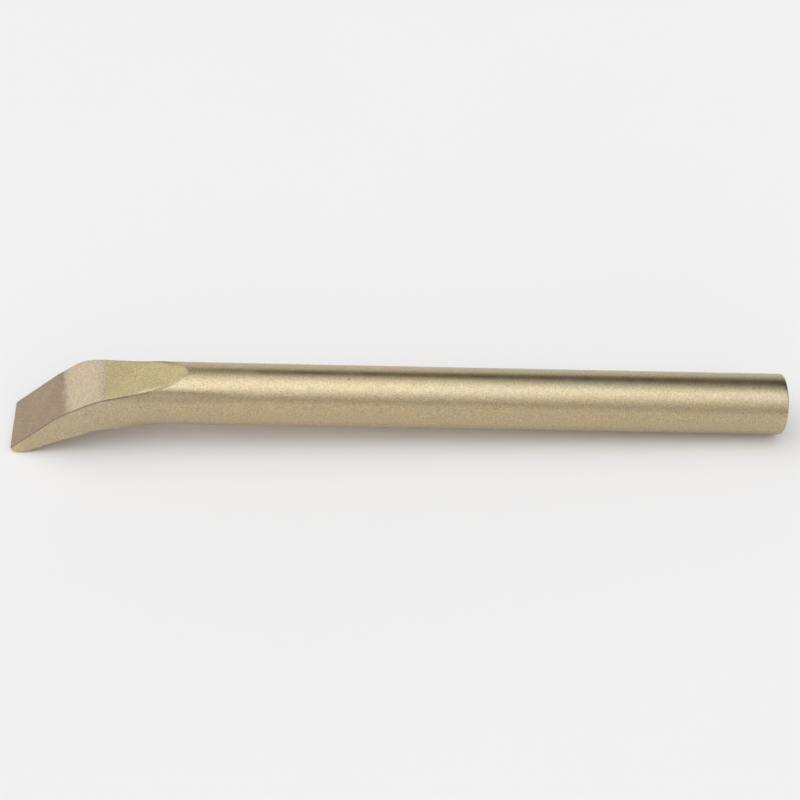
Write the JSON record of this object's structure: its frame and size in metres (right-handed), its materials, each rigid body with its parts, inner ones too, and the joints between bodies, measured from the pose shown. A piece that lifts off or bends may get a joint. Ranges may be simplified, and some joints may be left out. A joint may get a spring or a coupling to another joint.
{
  "type": "bent cold chisel",
  "caption": "Bent cold chisel of copper alloy: a round bar with a struck face at one end and a flattened, bent and ground blade at the other.",
  "frame": {"origin": "centre of the struck face at the head end", "axes": "+X along the round shank, out of the struck face and away from the blade; +Z towards the upper side of the blade, which dips towards -Z; +Y to the side"},
  "size_m": [0.25, 0.0212, 0.0285],
  "materials": {
    "copper_alloy": "fine matt blasted copper alloy, yellow-brown, ground at the cutting end"
  },
  "bodies": {
    "root": {"chisel_body": "copper_alloy"}
  },
  "joints": []
}
